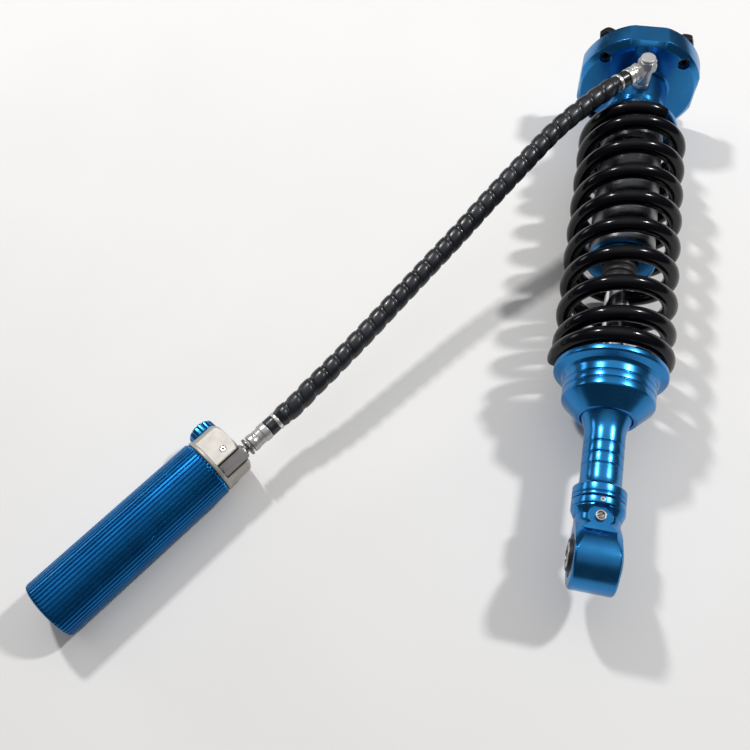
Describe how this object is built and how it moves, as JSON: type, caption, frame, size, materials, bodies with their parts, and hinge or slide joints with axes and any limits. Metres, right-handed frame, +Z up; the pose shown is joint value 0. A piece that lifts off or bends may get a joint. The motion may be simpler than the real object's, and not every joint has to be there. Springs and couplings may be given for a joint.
{
  "type": "coil-over strut with remote reservoir",
  "caption": "Coil-over damper strut with a round top plate, black coil spring, lower eye, and a ribbed remote reservoir joined by a sleeved hose.",
  "frame": {"origin": "centre of the tower face of the top plate", "axes": "+Y out of the tower face along the strut's axis, so the lower eye is towards -Y; +X along the lower eye's bolt, away from the reservoir; +Z up, with the strut and its reservoir lying on the floor"},
  "size_m": [0.5028, 0.684, 0.1225],
  "materials": {
    "anodised_blue": "bright anodised aluminium",
    "anodised_deep_blue": "satin anodised aluminium with ribs",
    "spring_black": "gloss black powder coat",
    "oxide_black": "black oxide",
    "tube_grey": "dark grey turned tube",
    "chrome_shaft": "hard chrome, ground",
    "steel": "turned steel",
    "nickel": "bright nickel plate",
    "bare_aluminium": "machined and tumbled",
    "rubber_black": "moulded rubber",
    "hose_black": "ribbed protective sleeve, semi gloss",
    "bronze": "bronze-filled bearing strip and brass"
  },
  "bodies": {
    "damper_body": {"top_plate": "anodised_blue", "top_plate_studs": "oxide_black", "top_plate_nuts": "oxide_black", "plate_ring_nut": "steel", "body_cap": "anodised_blue", "cap_o_ring": "rubber_black", "port_nut": "nickel", "body_tube": "tube_grey", "coil_spring": "spring_black", "body_end_cap": "anodised_blue", "shaft_bush": "bronze", "shaft_seal": "rubber_black", "shaft_wiper": "rubber_black", "bump_stop": "rubber_black"},
    "spring_perch": {"upper_spring_perch": "anodised_blue"},
    "preload_nut": {"preload_ring": "anodised_blue"},
    "shaft_group": {"shaft": "chrome_shaft", "metering_rod": "steel", "piston": "steel", "piston_band": "bronze", "valve_shims": "steel", "piston_nut": "steel", "lower_spring_seat": "anodised_blue", "lower_tube": "anodised_blue", "lock_ring": "anodised_blue", "clamp_ring": "anodised_blue", "clamp_ring_screw": "steel", "lower_eye": "anodised_blue", "eye_bush": "rubber_black", "adjuster_seat": "steel"},
    "rebound_screw": {"rebound_adjuster": "nickel"},
    "bolt_sleeve": {"eye_sleeve": "steel"},
    "hose_line": {"elbow_fitting": "nickel", "swivel_nut": "nickel", "hose": "hose_black", "hose_clamps": "nickel", "hose_fitting": "nickel", "hose_adaptor": "nickel", "reservoir_tube": "anodised_deep_blue", "reservoir_head": "bare_aluminium", "head_screw": "oxide_black", "reservoir_end_cap": "anodised_deep_blue", "end_cap_ring": "steel", "gas_valve": "bronze"},
    "gas_piston": {"floating_piston": "steel", "floating_piston_seal": "rubber_black"},
    "knob": {"compression_knob": "anodised_blue", "compression_spindle": "steel"}
  },
  "joints": [
    {"name": "shaft_stroke", "type": "slide", "parent": "damper_body", "child": "shaft_group", "axis": [0, 1, 0], "range_m": [0, 0.098], "stiffness_N_per_m": 68000, "springref_m": -0.005, "deforming": ["coil_spring"]},
    {"name": "preload_travel", "type": "slide", "parent": "damper_body", "child": "spring_perch", "axis": [0, 1, 0], "range_m": [0, 0.0101]},
    {"name": "preload_turn", "type": "hinge", "parent": "spring_perch", "child": "preload_nut", "pos_m": [0, -0.082, 0], "axis": [0, 1, 0], "range_deg": [0, 1800]},
    {"name": "rebound_turn", "type": "hinge", "parent": "shaft_group", "child": "rebound_screw", "pos_m": [0, -0.5075, 0.01], "axis": [0, 0, 1], "range_deg": [0, 300]},
    {"name": "bush_twist", "type": "hinge", "parent": "shaft_group", "child": "bolt_sleeve", "pos_m": [0, -0.5375, 0], "axis": [1, 0, 0], "range_deg": [-12, 12], "stiffness_Nm_per_rad": 5, "deforming": ["eye_bush"]},
    {"name": "hose_swivel", "type": "hinge", "parent": "damper_body", "child": "hose_line", "pos_m": [0, -0.05, 0.05], "axis": [0, 0, 1], "range_deg": [-40, 3]},
    {"name": "gas_piston_slide", "type": "slide", "parent": "hose_line", "child": "gas_piston", "axis": [-0.5299, -0.848, 0], "range_m": [0, 0.021]},
    {"name": "compression_turn", "type": "hinge", "parent": "hose_line", "child": "knob", "pos_m": [-0.34019, -0.48393, -0.0315], "axis": [-0.848, 0.5299, 0], "range_deg": [0, 300]}
  ],
  "couplings": [
    {"joint": "gas_piston_slide", "follows": "shaft_stroke", "ratio": 0.21},
    {"joint": "preload_travel", "follows": "preload_turn", "m_per_rad": 0.00031831}
  ]
}
